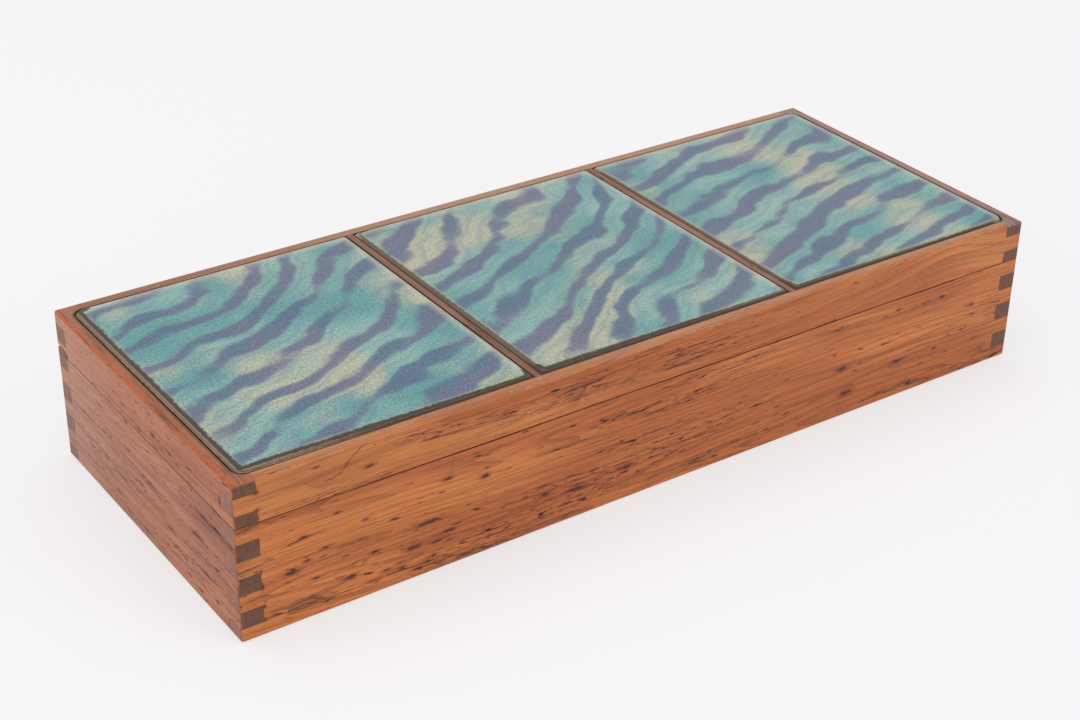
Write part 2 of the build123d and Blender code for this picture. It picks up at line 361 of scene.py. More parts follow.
# The lid's rim, seen from above
RIM_TOP = (RIM - 0.75, RIM - 0.25)     # heights over which a face goes over to the rim's worn top, mm
RIM_RAGGED = 2.4                       # span of the wear's raggedness, mm
RIM_PATCH = (5, 45)                    # the light patch: place along the box and half width, mm
BACK_DUST_LEFT, BACK_DUST_RIGHT, FRONT_DUST = srgb(118, 84, 70), srgb(172, 138, 114), srgb(190, 152, 126)
END_DUST, RIGHT_END_DUST, END_RIM_RED = srgb(148, 116, 92), srgb(152, 136, 128), srgb(156, 84, 44)
RIM_LIGHT_PATCH, NICK_PALE = srgb(216, 154, 106), srgb(226, 188, 150)
ARRIS_ORANGE, ARRIS_DARK = srgb(196, 102, 42), srgb(166, 76, 34)
# Dark scuffs, and the painted shade on the rim's top along the gap to the tiles
SCUFF_DARK, TILE_GAP_SHADE = srgb(78, 36, 26), srgb(48, 34, 24)


def long_rim(g, colour, top, ragged, fine, patches):
    """Rim at the front and back: dusty brown with pale nicks, a light patch in the middle, and painted
    shade on the front's top.
    """
    x, _, _ = g.split(g.position)
    back = back_half(g)
    front = g.inverse(back)
    nicks = g.both(top, g.step(fine, 0.62, 0.68), g.step(patches, 0.52, 0.62))
    dust = g.mix(g.step(x, -140.0, 20.0), BACK_DUST_LEFT, BACK_DUST_RIGHT)
    inner_dust = g.mul(g.step(ragged, 0.8, 3.2), g.span(g.step(x, -100.0, 100.0), 0.16, 0.42))
    colour = g.mix(g.both(top, g.hump(x, *RIM_PATCH), 0.40), colour, RIM_LIGHT_PATCH)
    colour = g.mix(g.both(top, front, inner_dust), colour, FRONT_DUST)
    # Painted shade: the front rim's top a little darker
    colour = g.shade(colour, g.sub(1.0, g.mul(g.both(top, front), 0.07)))
    colour = g.mix(g.both(top, back, 0.70), colour, dust)
    return g.mix(g.mul(nicks, 0.5), colour, NICK_PALE)


def end_rim(g, colour, top, ragged, fine, patches):
    """Rim at the ends: red-brown, dusty inside and at the right, with an orange arris and dark scuffs."""
    x, _, z = g.split(g.position)
    scuffs = g.noise(g.position, (1.4, 0.05, 1.0), detail=3.0, roughness=0.6)
    inner = g.both(top, g.step(ragged, 1.0, 1.6))
    colour = g.mix(g.mul(top, 0.60), colour, END_RIM_RED)
    colour = g.mix(g.both(inner, g.step(fine, 0.45, 0.62), 0.30), colour, END_DUST)
    colour = g.mix(g.both(top, g.step(x, 0.0, 20.0), 0.72), colour, RIGHT_END_DUST)
    rubbed = g.both(g.step(z, RIM - 1.0, RIM - 0.4), g.step(ragged, 2.2, 1.1))
    rubbed = g.both(rubbed, g.step(g.add(g.mul(patches, 0.6), g.mul(scuffs, 0.4)), 0.36, 0.52))
    orange = g.mix(g.step(fine, 0.4, 0.6), ARRIS_ORANGE, ARRIS_DARK)
    colour = g.mix(g.mul(rubbed, 0.70), colour, orange)
    return g.mix(g.both(top, g.step(scuffs, 0.54, 0.64), 0.75), colour, SCUFF_DARK)


def rim_wear(g, colour, along, uneven):
    """The worn top of the lid's rim, with painted shade next to the tiles and chips at its outer edge."""
    x, y, z = g.split(g.position)
    top = g.step(z, *RIM_TOP)
    across, half = (y, HALF_DEPTH) if along == ALONG_X else (x, HALF_LENGTH)
    from_face = g.sub(half, g.math("ABSOLUTE", across))
    ragged = g.add(from_face, g.mul(g.sub(uneven, 0.5), RIM_RAGGED))
    fine = g.noise(g.position, (1.1, 1.1, 1.1), detail=3.0, roughness=0.6)
    patches = g.noise(g.position, (0.09, 0.09, 0.09), detail=2.0)
    outside = g.mul(depth_inside(g, RECESS_LOW, RECESS_HIGH, RECESS_CORNER), -1.0)
    dress_rim, least, most = (long_rim, 0.0, 0.7) if along == ALONG_X else (end_rim, 0.4, 1.6)
    colour = dress_rim(g, colour, top, ragged, fine, patches)
    # Painted shade on the rim's top along its edge to the tiles
    gap_shade_reach = g.span(fine, least, most)
    gap_shaded = g.both(top, g.step(outside, gap_shade_reach, 0.1), g.step(outside, -0.6, -0.4))
    colour = g.mix(g.mul(gap_shaded, 0.75), colour, TILE_GAP_SHADE)
    chips = g.both(top, g.step(fine, 0.68, 0.74), g.step(ragged, 2.2, 1.2))
    return g.mix(g.mul(chips, 0.6), colour, CREVICE)


def plank_regions(g, tone, cluster, regions):
    """Darkness and pore density of the plank, changed round named places."""
    axes = g.split(g.position)
    for axis, middle, width, darker, denser in regions:
        region = g.hump(axes[axis], middle, width)
        tone = g.add(tone, g.mul(region, darker))
        cluster = g.add(cluster, g.mul(region, denser))
    return tone, cluster


def figure(g, place, wavy, tone, cluster, tones, banded, lined):
    """Colour of the plank with its bands, lines, growth rings and fibres. Also the lines and fibres."""
    golden, brown, red = tones
    bands = g.noise(wavy, (0.012, 0.42, 0.42), detail=3.0, roughness=0.6)
    lines = g.noise(wavy, (0.012, 2.2, 2.2), detail=3.0, roughness=0.65)
    fibres = g.noise(place, (0.16, 6.0, 6.0), detail=2.0, roughness=0.6)
    ring_turn = g.math("FRACT", g.mul(g.noise(wavy, (0.0045, 0.085, 0.085), detail=1.0), RINGS))
    late_wood = g.math("POWER", ring_turn, 4.0)
    colour = g.mix(g.step(tone, 0.40, 0.66), golden, brown)
    colour = g.mix(g.mul(g.step(bands, 0.44, 0.66), banded), colour, red)
    colour = g.shade(colour, g.span(g.step(lines, 0.30, 0.70), 1.11, 0.86))
    ringed = g.span(cluster, 0.15, 0.85)
    colour = g.mix(g.both(late_wood, ringed, 0.45 + lined), colour, RING_BROWN)
    return g.shade(colour, g.span(fibres, 0.84, 1.16)), lines, fibres


def pore_marks(g, colour, wavy, cluster, flecked, lined, pitted):
    """Colour with hairlines, pores, resin flecks in a red halo, and pits. Also the first three's masks."""
    dashes = g.noise(wavy, (0.32, 2.7, 2.7), detail=2.0, roughness=0.5)
    blots = g.noise(wavy, (0.17, 1.0, 1.0), detail=3.0, roughness=0.5)
    pits = g.noise(wavy, (0.40, 1.9, 1.9), detail=1.0)
    contour = g.math("ABSOLUTE", g.sub(g.noise(wavy, (0.009, 0.80, 0.80), detail=2.0), 0.5))
    gathered = g.step(cluster, 0.60 - 0.12 * lined, 0.70 - 0.12 * lined)
    broken = g.step(dashes, 0.30, 0.48)
    hairlines = g.both(g.step(contour, 0.038, 0.012), g.span(gathered, 0.25, 1.0), broken)
    pore_level = g.sub(0.69 - 0.03 * pitted, g.mul(gathered, 0.09))
    pores = g.step(dashes, pore_level, g.add(pore_level, 0.05))
    blot_level = g.sub(0.74 - 0.06 * flecked, g.mul(gathered, 0.05))
    smudge = g.step(blots, g.sub(blot_level, 0.12), blot_level)
    halo = g.step(blots, g.sub(blot_level, 0.035), g.add(blot_level, 0.01))
    core = g.step(blots, g.add(blot_level, 0.006), g.add(blot_level, 0.03))
    colour = g.mix(g.mul(hairlines, 0.84), colour, PORE_BROWN)
    colour = g.mix(g.mul(pores, 0.68), colour, PORE_BROWN)
    colour = g.mix(g.mul(smudge, 0.22), colour, SMUDGE_RED)
    colour = g.mix(g.mul(halo, 0.55), colour, HALO_RED)
    colour = g.mix(g.mul(core, 0.90), colour, FLECK_BLACK)
    pit_level = 0.80 - 0.11 * pitted
    colour = g.mix(g.mul(g.step(pits, pit_level, pit_level + 0.03), 0.90), colour, PIT_DARK)
    return colour, hairlines, pores, core


def own_marks(g, colour, place, along, spots, back_sheen, crossed_by):
    """Colour with marks at named places, a painted sheen that makes the back half paler, and a vein, for
    planks that have them.
    """
    if spots:
        ragged = g.mul(g.sub(g.noise(place, (0.45, 2.0, 2.0), detail=3.0, roughness=0.6), 0.5), 2.0)
        resin, red_halo = marks(g, spots, along, ragged)
        colour = g.mix(g.mul(red_halo, 0.46), colour, RESIN_HALO)
        colour = g.mix(g.mul(resin, 0.82), colour, FLECK_BLACK)
    # Painted sheen: the back half paler and pinker
    if back_sheen:
        y = g.split(g.position)[1]
        colour = g.mix(g.mul(g.step(y, 0.0, HALF_DEPTH), back_sheen), colour, SHEEN_PINK)
    if crossed_by:
        crooked = vein(g, *crossed_by, g.noise(place, (0.16, 0.16, 0.16), detail=3.0))
        colour = g.mix(g.mul(crooked, 0.6), colour, VEIN_BROWN)
    return colour


def end_grained(g, colour, place, along, end_colour):
    """Colour with dark streaked end grain on the faces that the grain runs into."""
    dots = g.noise(place, (0.3, 4.0, 4.0), detail=2.0)
    streaks = g.noise(g.position, (0.9, 0.9, 0.35), detail=3.0, roughness=0.6)
    end_shade = g.mix(back_half(g), end_colour, BACK_END)
    end_shade = g.shade(end_shade, g.span(g.step(streaks, 0.3, 0.7), 0.80, 1.20))
    return g.mix(end_grain(g, along), colour, g.shade(end_shade, g.span(dots, 0.72, 1.28)))


def wood(name, along, seed, golden, brown, red, end_colour, shift=0.0, arches=(), spots=(), flecked=0.5,
         lined=0.5, banded=0.6, pitted=0.3, sheen=0.42, rim=False, crossed_by=None, back_sheen=0.0,
         seam=(0.16, 0.36), regions=(), redder=0.0, lightened_above=None):
    """Oiled hardwood, solid through the plank, so its grain and pores meet at every edge."""
    g = Graph(name)
    x, _, z = g.split(g.position)
    place = grain_place(g, along, seed, arches)
    warp = g.vector("SUBTRACT", g.noise(place, (0.007, 0.02, 0.02), detail=2.0, colour=True), (0.5,) * 3)
    wavy = g.vector("ADD", place, g.scale_vector(warp, (0.0, WARP, WARP)))
    tone = g.add(g.noise(wavy, (0.010, 0.075, 0.075), detail=2.0), g.mul(x, redder))
    cluster = g.noise(wavy, (0.013, 0.17, 0.17), detail=2.0, roughness=0.55)
    tone, cluster = plank_regions(g, tone, cluster, regions)

    colour, lines, fibres = figure(g, place, wavy, tone, cluster, (golden, brown, red), banded, lined)
    colour, hairlines, pores, core = pore_marks(g, colour, wavy, cluster, flecked, lined, pitted)
    colour = own_marks(g, colour, place, along, spots, back_sheen, crossed_by)
    colour = end_grained(g, colour, place, along, end_colour)

    uneven = g.noise(place, (0.035, 0.3, 0.3), detail=3.0, roughness=0.6)
    worn = g.both(rounded_arris(g), g.step(uneven, 0.40, 0.58))
    colour = g.mix(g.mul(worn, 0.22), colour, WORN_ARRIS)
    # Painted light: the board's top, seen in the gaps round the tiles, made paler against its shade
    if lightened_above:
        colour = g.mix(g.mul(g.step(z, lightened_above, lightened_above + 0.1), 0.8), colour, BOARD_PAINTED_LIGHT)
    glue = g.both(finger_lines(g, along, shift), g.step(uneven, 0.36, 0.56))
    colour = g.mix(g.mul(glue, 0.65), colour, CREVICE)
    if rim:
        colour = rim_wear(g, colour, along, uneven)
    # Painted shade in the crack between lid and base
    crack = seam_shadow(g, uneven, *seam)
    colour = g.mix(g.mul(crack, 0.96), colour, SEAM_SHADE_RED)

    g.set(Base_Color=colour, IOR=1.45, Specular_IOR_Level=0.42)
    dull = g.add(g.mul(pores, 0.12), g.mul(g.either(core, crack), 0.35))
    g.set(Roughness=g.add(g.span(lines, sheen - 0.04, sheen + 0.10), dull))
    dents = g.either(g.mul(pores, 0.6), core, g.mul(hairlines, 0.5), glue)
    g.bump(g.sub(g.mul(g.add(fibres, lines), 0.25), dents), 0.07)
    return g.material


# ---------------------------------------------------------------- enamel
COPPER_TAN, COPPER_DARK = srgb(142, 116, 92), srgb(92, 72, 52)
COPPER_BROWN, COPPER_PALE = srgb(124, 104, 88), srgb(176, 152, 130)
TURQUOISE, PALE_TURQUOISE, CREAM = srgb(86, 152, 150), srgb(134, 176, 168), srgb(190, 184, 156)
SLATE_BLUE, SLATE_VIOLET, OVERSPRAY = srgb(66, 92, 126), srgb(92, 92, 126), srgb(96, 122, 146)
PALE_GRAIN, DARK_GRAIN, SPECK = srgb(200, 198, 178), srgb(48, 60, 76), srgb(44, 50, 52)
# The last colour is of burnt enamel, and at the tiles' front of painted shade too
THIN_COAT, FRINGE_OLIVE, BURNT_AND_SHADE_BROWN = srgb(206, 200, 184), srgb(178, 172, 128), srgb(42, 27, 12)
TILE_STEP = (311.0, 97.0)        # from one tile to the next in the noise, mm
RIPPLE_PITCH = 13.5              # from one blue band to the next, mm
BURN_SHADE_START, BURN_SHADE_END = 3.0, 6.0  # from a tile's edge: where its width of burnt edge and painted shade begins to fall and ends, mm
COAT_CORNER = 2.0                # corner radius that the coat's coloured edges follow, mm


def rubbed_and_highlit_end(g):
    """1 at the box's left end, where the copper is rubbed and painted brighter as a highlight, going to 0
    towards the middle.
    """
    x = g.split(g.position)[0]
    patchy = g.noise(g.position, (0.05, 0.05, 0.05), detail=2.0)
    return g.step(g.add(x, g.mul(g.sub(patchy, 0.5), 60.0)), -96.0, -132.0)


def copper_tone(g):
    """Bare copper by place: tan with a painted highlight at the left end, dark along the front, pale at the
    back and right.
    """
    x, y, _ = g.split(g.position)
    tone = g.mix(g.step(y, -44.0, -50.0), COPPER_BROWN, COPPER_DARK)
    pale = g.either(g.step(y, 48.0, 52.0), g.step(x, 136.0, 140.0))
    return g.mix(rubbed_and_highlit_end(g), g.mix(pale, tone, COPPER_PALE), COPPER_TAN)


def glaze(g, flat, across, grain, coarse):
    """Rippled slate-blue bands sprayed on mottled turquoise and cream."""
    swing = g.noise(flat, (0.011, 0.011, 0.011), detail=1.0)
    ruffle = g.noise(flat, (0.04, 0.04, 0.04), detail=2.0)
    swell = g.noise(flat, (0.035, 0.06, 0.05), detail=2.0)
    turns = g.add(g.mul(across, 1 / RIPPLE_PITCH), g.add(g.mul(swing, 3.6), g.mul(ruffle, 1.3)))
    wave = g.math("SINE", g.mul(turns, 2 * math.pi))
    spray = g.add(g.mul(g.sub(grain, 0.5), 1.9), g.mul(g.sub(coarse, 0.5), 1.1))
    level = g.add(g.add(wave, g.mul(g.sub(swell, 0.5), 4.2)), spray)
    bands = g.step(level, -0.25, 0.75)

    cloud = g.noise(flat, (0.03, 0.03, 0.03), detail=2.0)
    cream_cloud = g.noise(g.vector("ADD", flat, (53.0, 19.0, 0.0)), (0.026, 0.026, 0.026), detail=2.0)
    ground = g.mix(g.step(cloud, 0.35, 0.65), TURQUOISE, PALE_TURQUOISE)
    cream_level = g.add(cream_cloud, g.mul(spray, 0.10))
    ground = g.mix(g.mul(g.step(cream_level, 0.46, 0.66), 0.8), ground, CREAM)
    ink = g.mix(g.step(ruffle, 0.38, 0.62), SLATE_BLUE, SLATE_VIOLET)
    overspray = g.math("SINE", g.mul(g.add(turns, g.mul(swell, 1.6)), 4 * math.pi))
    faint = g.step(g.add(overspray, g.mul(spray, 0.8)), 0.2, 1.1)
    ground = g.mix(g.mul(faint, 0.32), ground, OVERSPRAY)
    return g.mix(g.mul(bands, 0.88), ground, ink)


def grained(g, colour, flat, grain, coarse, grainy):
    """Colour with the glass powder's mottle and its pale and dark grains."""
    mottle = g.noise(flat, (1.1, 1.1, 1.1), detail=1.0)
    for pattern, depth in ((mottle, 0.15), (grain, 0.20)):
        darkest, brightest = 1.0 - depth * grainy, 1.0 + depth * grainy
        colour = g.shade(colour, g.span(g.step(pattern, 0.25, 0.75), darkest, brightest))
    pale_grains = g.both(g.step(grain, 0.56, 0.66), g.step(coarse, 0.35, 0.6))
    colour = g.mix(g.mul(pale_grains, 0.30 * grainy), colour, PALE_GRAIN)
    dark_grains = g.both(g.step(grain, 0.43, 0.33), g.step(coarse, 0.6, 0.4))
    return g.mix(g.mul(dark_grains, 0.45 * grainy), colour, DARK_GRAIN)


def burnt_and_shaded_width(g, low, high, burnt_left, burnt_shaded_front):
    """Width of the dark edge by place, mm: burnt at the left, and burnt with painted shade at the front,
    narrowing to the right.
    """
    along, up, _ = g.split(g.position)
    front_width = g.span(g.step(along, low[0], high[0]), 1.2 * burnt_shaded_front, 0.5 * burnt_shaded_front)
    return g.either(g.mul(g.step(g.sub(along, low[0]), BURN_SHADE_END, BURN_SHADE_START), burnt_left),
                    g.mul(g.step(g.sub(up, low[1]), BURN_SHADE_END, BURN_SHADE_START), front_width))


def coat_edge(g, colour, flat, grain, coarse, low, high, burn_and_shade):
    """Colour with the coat's edges: thin at the back and right, burnt at the left, burnt with painted shade
    at the front.

    An olive fringe and a line of bare copper run all round.
    """
    along, up, _ = g.split(g.position)
    depth = depth_inside(g, low, high, COAT_CORNER)
    thin_coat = g.noise(flat, (0.10, 0.10, 0.10), detail=3.0, roughness=0.6)
    ragged = g.add(depth, g.add(g.mul(g.sub(coarse, 0.5), 1.5), g.mul(g.sub(grain, 0.5), 0.9)))
    thinning = g.either(g.step(g.sub(high[0], along), 3.6, 0.6), g.step(g.sub(high[1], up), 4.6, 0.6))
    colour = g.mix(g.mul(thinning, g.span(coarse, 0.30, 0.62)), colour, THIN_COAT)
    fringe_end = g.add(g.span(thin_coat, 0.5, 2.6), g.mul(burn_and_shade, 0.9))
    fringe = g.step(ragged, fringe_end, g.mul(fringe_end, 0.45))
    colour = g.mix(g.mul(fringe, g.span(g.step(burn_and_shade, 0.0, 1.0), 0.36, 0.62)), colour, FRINGE_OLIVE)
    # At the front the dark edge is painted shade as well as burnt enamel
    burnt_shade_end = g.mul(burn_and_shade, g.span(thin_coat, 1.12, 0.62))
    burnt_and_shaded = g.step(ragged, g.add(g.mul(burnt_shade_end, 1.2), 0.45), burnt_shade_end)
    colour = g.mix(g.mul(burnt_and_shaded, g.step(burn_and_shade, -0.05, 1.1)), colour, BURNT_AND_SHADE_BROWN)
    bare_depth = g.sub(g.add(depth, g.mul(g.sub(coarse, 0.5), 0.9)), g.mul(rubbed_and_highlit_end(g), 0.35))
    return g.mix(g.mul(g.step(bare_depth, 0.36, 0.16), 0.9), colour, copper_tone(g))


def enamel(index, low, high, direction, grainy, burnt_left, burnt_shaded_front):
    """Fired enamel on one tile."""
    g = Graph(f"enamel_{index}")
    offset = (index * TILE_STEP[0], index * TILE_STEP[1], 0.0)
    x, y, _ = g.split(g.vector("ADD", g.position, offset))
    flat = g.join(x, y, 0.0)
    angle = math.radians(direction)
    across = g.add(g.mul(x, -math.sin(angle)), g.mul(y, math.cos(angle)))
    grain = g.noise(flat, (1.7, 1.7, 1.7), detail=2.0, roughness=0.75)
    coarse = g.noise(flat, (0.8, 0.8, 0.8), detail=2.0, roughness=0.6)
    colour = glaze(g, flat, across, grain, coarse)
    colour = grained(g, colour, flat, grain, coarse, grainy)
    burn_and_shade = burnt_and_shaded_width(g, low, high, burnt_left, burnt_shaded_front)
    colour = coat_edge(g, colour, flat, grain, coarse, low, high, burn_and_shade)

    speck_distance, speck_pick = g.cells(flat, (0.9, 0.9, 0.9))
    specks = g.both(g.step(speck_distance, 0.26, 0.14), g.step(speck_pick, 0.72, 0.74))
    colour = g.mix(g.mul(specks, 0.5), colour, SPECK)
    g.set(Base_Color=colour, IOR=1.5, Roughness=g.span(grain, 0.30, 0.48))
    g.bump(g.add(g.mul(coarse, 0.7), g.mul(grain, 0.3)), 0.05)
    return g.material


# ---------------------------------------------------------------- metals
COPPER_TOP = box_mm("tile_1_copper")[1][2]
PLATE_BRIGHT, PLATE_BROWN = srgb(182, 154, 124), srgb(150, 122, 96)
PLATE_TARNISH, PLATE_SIDE = srgb(84, 70, 52), srgb(82, 66, 52)
BRASS_YELLOW, BRASS_BROWN = srgb(204, 168, 96), srgb(166, 128, 70)


def copper():
    """Tarnished copper: blotched and painted brighter as a highlight at the box's left end, copper_tone
    elsewhere, and dark at its sides.
    """
    g = Graph("copper")
    blotch = g.noise(g.position, (0.12, 0.12, 0.4), detail=3.0, roughness=0.6)
    fine = g.noise(g.position, (1.3, 1.3, 1.3), detail=3.0, roughness=0.65)
    colour = g.mix(g.step(blotch, 0.35, 0.6), PLATE_BRIGHT, PLATE_BROWN)
    colour = g.mix(g.mul(g.step(fine, 0.46, 0.62), 0.75), colour, PLATE_TARNISH)
    # Painted highlight over rubbed copper at the left end
    colour = g.mix(rubbed_and_highlit_end(g), g.shade(copper_tone(g), g.span(fine, 0.75, 1.25)), colour)
    height = g.split(g.position)[2]
    colour = g.mix(g.step(height, COPPER_TOP - 0.05, COPPER_TOP - 0.3), colour, PLATE_SIDE)
    g.set(Base_Color=colour, Metallic=0.6, Roughness=g.span(fine, 0.38, 0.6))
    g.bump(fine, 0.03)
    return g.material


def brass(name, seed):
    """Aged brass with soft brown tarnish and fine scratches along the hinge."""
    g = Graph(name)
    place = g.vector("ADD", g.position, (seed * 17.0, 0.0, 0.0))
    tarnish = g.noise(place, (0.22, 0.22, 0.22), detail=2.0, roughness=0.5)
    scratches = g.noise(place, (0.4, 9.0, 9.0), detail=2.0)
    colour = g.mix(g.step(tarnish, 0.42, 0.66), BRASS_YELLOW, BRASS_BROWN)
    g.set(Base_Color=colour, Metallic=1.0, Roughness=g.span(scratches, 0.24, 0.48))
    g.bump(scratches, 0.02)
    return g.material


# ---------------------------------------------------------------- tiles as pieces
# Of each tile: shape seed, run of the bands in degrees, grain, burnt width at the left, and width of burnt
# edge with painted shade at the front, mm
TILE_LOOKS = ((1.0, 28, 1.15, 2.0, 2.0), (2.3, 40, 0.90, 0.8, 1.4), (3.9, 20, 0.70, 0.25, 0.7))


def rounded_outline(low, high, radii, side_points, corner_points):
    """Points round a rectangle, anticlockwise from its lower left corner. A radius for each corner."""
    corners = ((low[0], low[1], 1, 1, 180), (high[0], low[1], -1, 1, 270),
               (high[0], high[1], -1, -1, 0), (low[0], high[1], 1, -1, 90))
    points = []
    for (x, y, to_x, to_y, start), radius in zip(corners, radii):
        for i in range(corner_points + 1):
            turn = math.radians(start + 90 * i / corner_points)
            points.append(Vector((x + to_x * radius + radius * math.cos(turn),
                                  y + to_y * radius + radius * math.sin(turn))))
    full = []
    per_corner = corner_points + 1
    for k in range(4):
        full += points[k * per_corner:(k + 1) * per_corner]
        start, end = full[-1], points[((k + 1) * per_corner) % len(points)]
        full += [start.lerp(end, (i + 1) / (side_points + 1)) for i in range(side_points)]
    return full


def wobble(x, y, seed):
    """Slow hand-made unevenness, from -1 to 1."""
    return (math.sin(0.083 * x + 0.051 * y + 1.7 * seed) + math.sin(0.047 * x - 0.091 * y + 2.9 * seed)
            + math.sin(0.17 * x + 0.13 * y + 4.1 * seed)) / 3


ENAMEL_EDGE = 0.55                     # rounded edge of the coat, mm
EDGE_TOP = 0.98                        # height of the rounded edge, of the coat's thickness
HOLLOW, HOLLOW_FROM = 0.05, 4.0        # depth of the hollows in the coat, and how far in they are full, mm
FILL, FILL_PLACE = 0.05, 1.6           # fills the hollows near the edge, mostly this far in from it, mm
WAVE_PACE = 3                          # the hollows lie this many times closer than wobble's own waves
BOX_CORNER, INNER_CORNER, LEAST_CORNER = 3.1, 0.9, 0.05    # corner radii of the coat, mm
SIDE_POINTS, CORNER_POINTS = 26, 6     # of each ring of the mesh
# Rings of the mesh, from the coat's edge inwards, mm
INSETS = (0.0, 0.04, 0.12, 0.25, 0.4, 0.55, 0.9, 1.4, 2.2, 3.4, 5.0, 7.5, 10.5,
          14, 18, 22, 26, 30, 34, 38, 42)


def coat_height(point, inset, thickness, seed):
    """Height of the coat's surface over its foot, mm, at a point this far in from its edge."""
    edge = min(inset / ENAMEL_EDGE, 1.0)
    rise = thickness * math.sqrt(1 - (1 - edge) ** 2)
    if edge < 1.0:
        return rise * EDGE_TOP
    fill = FILL * math.exp(-((inset - FILL_PLACE) / FILL_PLACE) ** 2)
    wave = wobble(WAVE_PACE * point.x, WAVE_PACE * point.y, seed)
    level = HOLLOW * wave * min(inset / HOLLOW_FROM, 1.0)
    return rise + min(fill + level, 0.0)


def coat_ring(mesh, low, high, corners, inset, seed):
    """Adds the ring of the coat's mesh that runs this far in from its edge."""
    ring_low = [low[0] + inset, low[1] + inset]
    ring_high = [high[0] - inset, high[1] - inset]
    radii = [max(radius - inset, LEAST_CORNER) for radius in corners]
    ring = []
    for point in rounded_outline(ring_low, ring_high, radii, SIDE_POINTS, CORNER_POINTS):
        top = low[2] + coat_height(point, inset, high[2] - low[2], seed)
        ring.append(mesh.verts.new((point.x * MM, point.y * MM, min(top, high[2]) * MM)))
    return ring


def enamel_coat(index, seed):
    """The fired coat of one tile, with a rounded edge, a level band inside it and shallow hollows."""
    node = f"tile_{index}_enamel"
    low, high = box_mm(node)
    left = BOX_CORNER if index == 1 else INNER_CORNER
    right = BOX_CORNER if index == len(TILE_LOOKS) else INNER_CORNER
    corners = (left, right, right, left)
    mesh = bmesh.new()
    rings = [coat_ring(mesh, low, high, corners, inset, seed) for inset in INSETS]
    for outer_ring, inner_ring in zip(rings, rings[1:]):
        for i in range(len(outer_ring)):
            j = (i + 1) % len(outer_ring)
            mesh.faces.new((outer_ring[i], outer_ring[j], inner_ring[j], inner_ring[i]))
    mesh.faces.new(rings[-1])
    mesh.faces.new(list(reversed(rings[0])))
    data = bpy.data.meshes.new(f"enamel_coat_{index}")
    mesh.to_mesh(data)
    mesh.free()
    piece = bpy.data.objects.new(f"enamel_coat_{index}", data)
    bpy.context.collection.objects.link(piece)
    for face in data.polygons:
        face.use_smooth = True
    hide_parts(node)
    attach(piece, "lid")
    return piece, low, high


# ---------------------------------------------------------------- dressing the CAD nodes
def dress(material, *nodes):
    """Gives a material to CAD nodes."""
    for node in nodes:
        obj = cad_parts[node]
        obj.data.materials.clear()
        obj.data.materials.append(material)


BASE_TONES = dict(golden=srgb(213, 130, 68), brown=srgb(190, 107, 54), red=srgb(170, 87, 46))
LID_TONES = dict(golden=srgb(211, 134, 73), brown=srgb(189, 108, 57), red=srgb(178, 94, 49))
LID_END_TONES = dict(golden=srgb(196, 122, 82), brown=srgb(180, 106, 70), red=srgb(154, 84, 58))
END_TONES = dict(golden=srgb(186, 117, 82), brown=srgb(168, 99, 69), red=srgb(142, 76, 55))
DIVIDER_TONES = dict(golden=srgb(154, 110, 90), brown=srgb(136, 93, 75), red=srgb(112, 72, 56))
BOARD_TONES = dict(golden=srgb(202, 148, 104), brown=srgb(184, 130, 90), red=srgb(168, 108, 72))
BOARD_END = srgb(120, 84, 60)
# Dark marks, each with its place along its wall, its height, its length and its thickness, mm
BASE_FRONT_MARKS = (
    (-138.8, 16.0, 1.2, 2.0), (-138.6, 5.0, 1.3, 1.2), (-138.6, 9.6, 1.1, 1.0), (-138.9, 21.2, 1.0, 0.8),
    (-86.1, 17.5, 10, 1.6), (-91.1, 10.7, 5.5, 1.8), (-79.6, 12.2, 6, 1.1), (-83.6, 10, 6, 1),
    (-111.6, 8.6, 4, 1.8), (-130.1, 17.2, 4.6, 1.6), (-125.6, 27.2, 4, 1), (-79.6, 29.7, 4, 1.3),
    (-125.0, 19.4, 2.6, 0.9), (-119.4, 21.5, 3, 0.8), (-103.8, 14.2, 3.4, 0.9), (-97.2, 22.6, 2.4, 0.9),
    (-115.2, 31.4, 2.4, 0.8), (-106.4, 26.0, 2.2, 0.8), (-122.4, 12.6, 3.2, 0.9), (-100.2, 6.4, 3, 0.8),
    (-67.1, 26.2, 3.2, 1.6), (-46.1, 12.2, 4, 1.3), (-35.6, 10.2, 8, 1), (-16.6, 11.4, 5.5, 1.6),
    (69.4, 18.2, 5, 1.9), (72.4, 8.5, 6, 2.2), (94.4, 13.5, 6, 1.3), (126.4, 25.2, 2.6, 1.3),
)
LID_FRONT_MARKS = (
    (-104.6, 42.9, 3.6, 1.1), (-139.2, 46.7, 1.8, 1.7), (-139.1, 41.0, 1.5, 1.2), (-138.9, 38.2, 0.9, 0.9),
)
BASE_LEFT_MARKS = (
    (16, 13.7, 9, 1), (2.6, 18.9, 5, 1.2), (-34.4, 21.9, 7, 1.5), (-37.4, 11.3, 5, 1.2),
    (-16.4, 13.9, 6, 0.9), (28.6, 32.2, 4, 1),
)
LID_LEFT_MARKS = (
    (-9.1, 41.3, 3.2, 1.8), (0.4, 38.3, 3.4, 1.3), (-50.3, 42.2, 1.3, 3), (10.4, 41.4, 3, 1),
)
LID_VEIN = ((-118.5, 41.2), (-105.5, 50.7))        # its ends: place along the box and height, mm
BOARD_TOP = box_mm("lid_board")[1][2]
# Parts of the long walls that differ: axis, middle and half width in mm, darker by, more pores by
LID_REGIONS = ((0, 5, 45, 0.16, 0.09),)
BASE_REGIONS = (
    (0, -140, 42, -0.18, -0.05), (0, -5, 55, 0.08, 0.06), (2, 12, 7, 0.15, 0.03), (2, 36, 6, 0.0, -0.06),
)
LID_ARCH = (112, 26, 7)        # arched grain: place along the box, half width and height, mm

